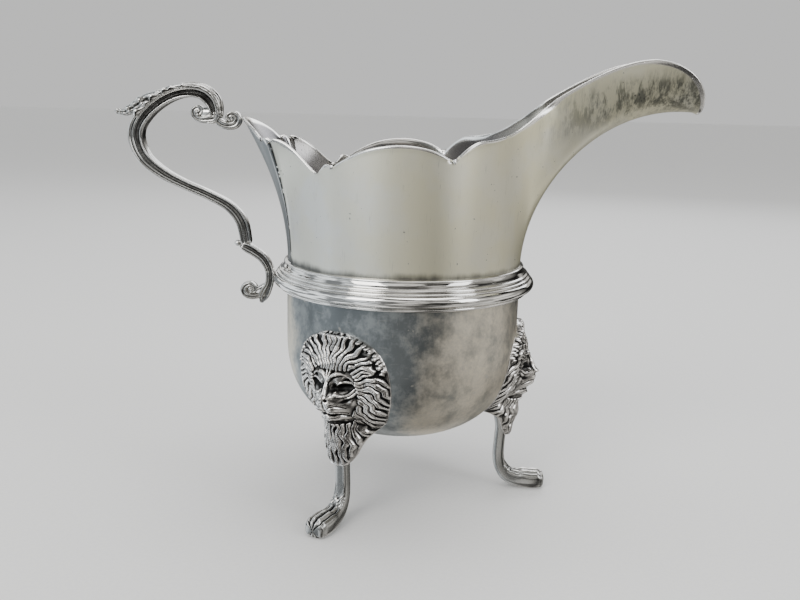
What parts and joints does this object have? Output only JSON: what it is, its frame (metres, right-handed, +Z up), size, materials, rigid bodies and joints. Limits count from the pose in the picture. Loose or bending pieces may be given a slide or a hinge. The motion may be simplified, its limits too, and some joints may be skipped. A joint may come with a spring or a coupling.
{
  "type": "sauce boat",
  "caption": "Round silver sauce boat with a long upswept spout, lobed rim, reeded girdle, scroll handle and lion-mask feet.",
  "frame": {"origin": "on the floor under the centre of the piece's length, which is the axis of the round body", "axes": "+X towards the tip of the spout, -X towards the handle, +Z up along the body's axis"},
  "size_m": [0.1864, 0.0906, 0.1443],
  "materials": {
    "satin_silver": "worn satin silver with fine vertical brushing and light tarnish",
    "tarnished_silver": "tarnished silver with pale scratched patches",
    "bright_silver": "polished silver with dark recesses",
    "oxidised_silver": "cast silver with black recesses and rubbed bright ridges",
    "cast_silver": "smooth cast silver, polished on the paws"
  },
  "bodies": {
    "root": {"bowl": "tarnished_silver", "girdle": "bright_silver", "upper_wall": "satin_silver", "back_panel": "satin_silver", "handle_scroll": "bright_silver", "handle_leaf": "bright_silver", "handle_curl": "bright_silver", "handle_neck": "bright_silver", "handle_bud": "bright_silver", "handle_lower_scroll": "bright_silver", "handle_terminal": "bright_silver", "mask_front": "oxidised_silver", "mask_left": "oxidised_silver", "mask_right": "oxidised_silver", "foot_front": "cast_silver", "foot_left": "cast_silver", "foot_right": "cast_silver"}
  },
  "joints": []
}
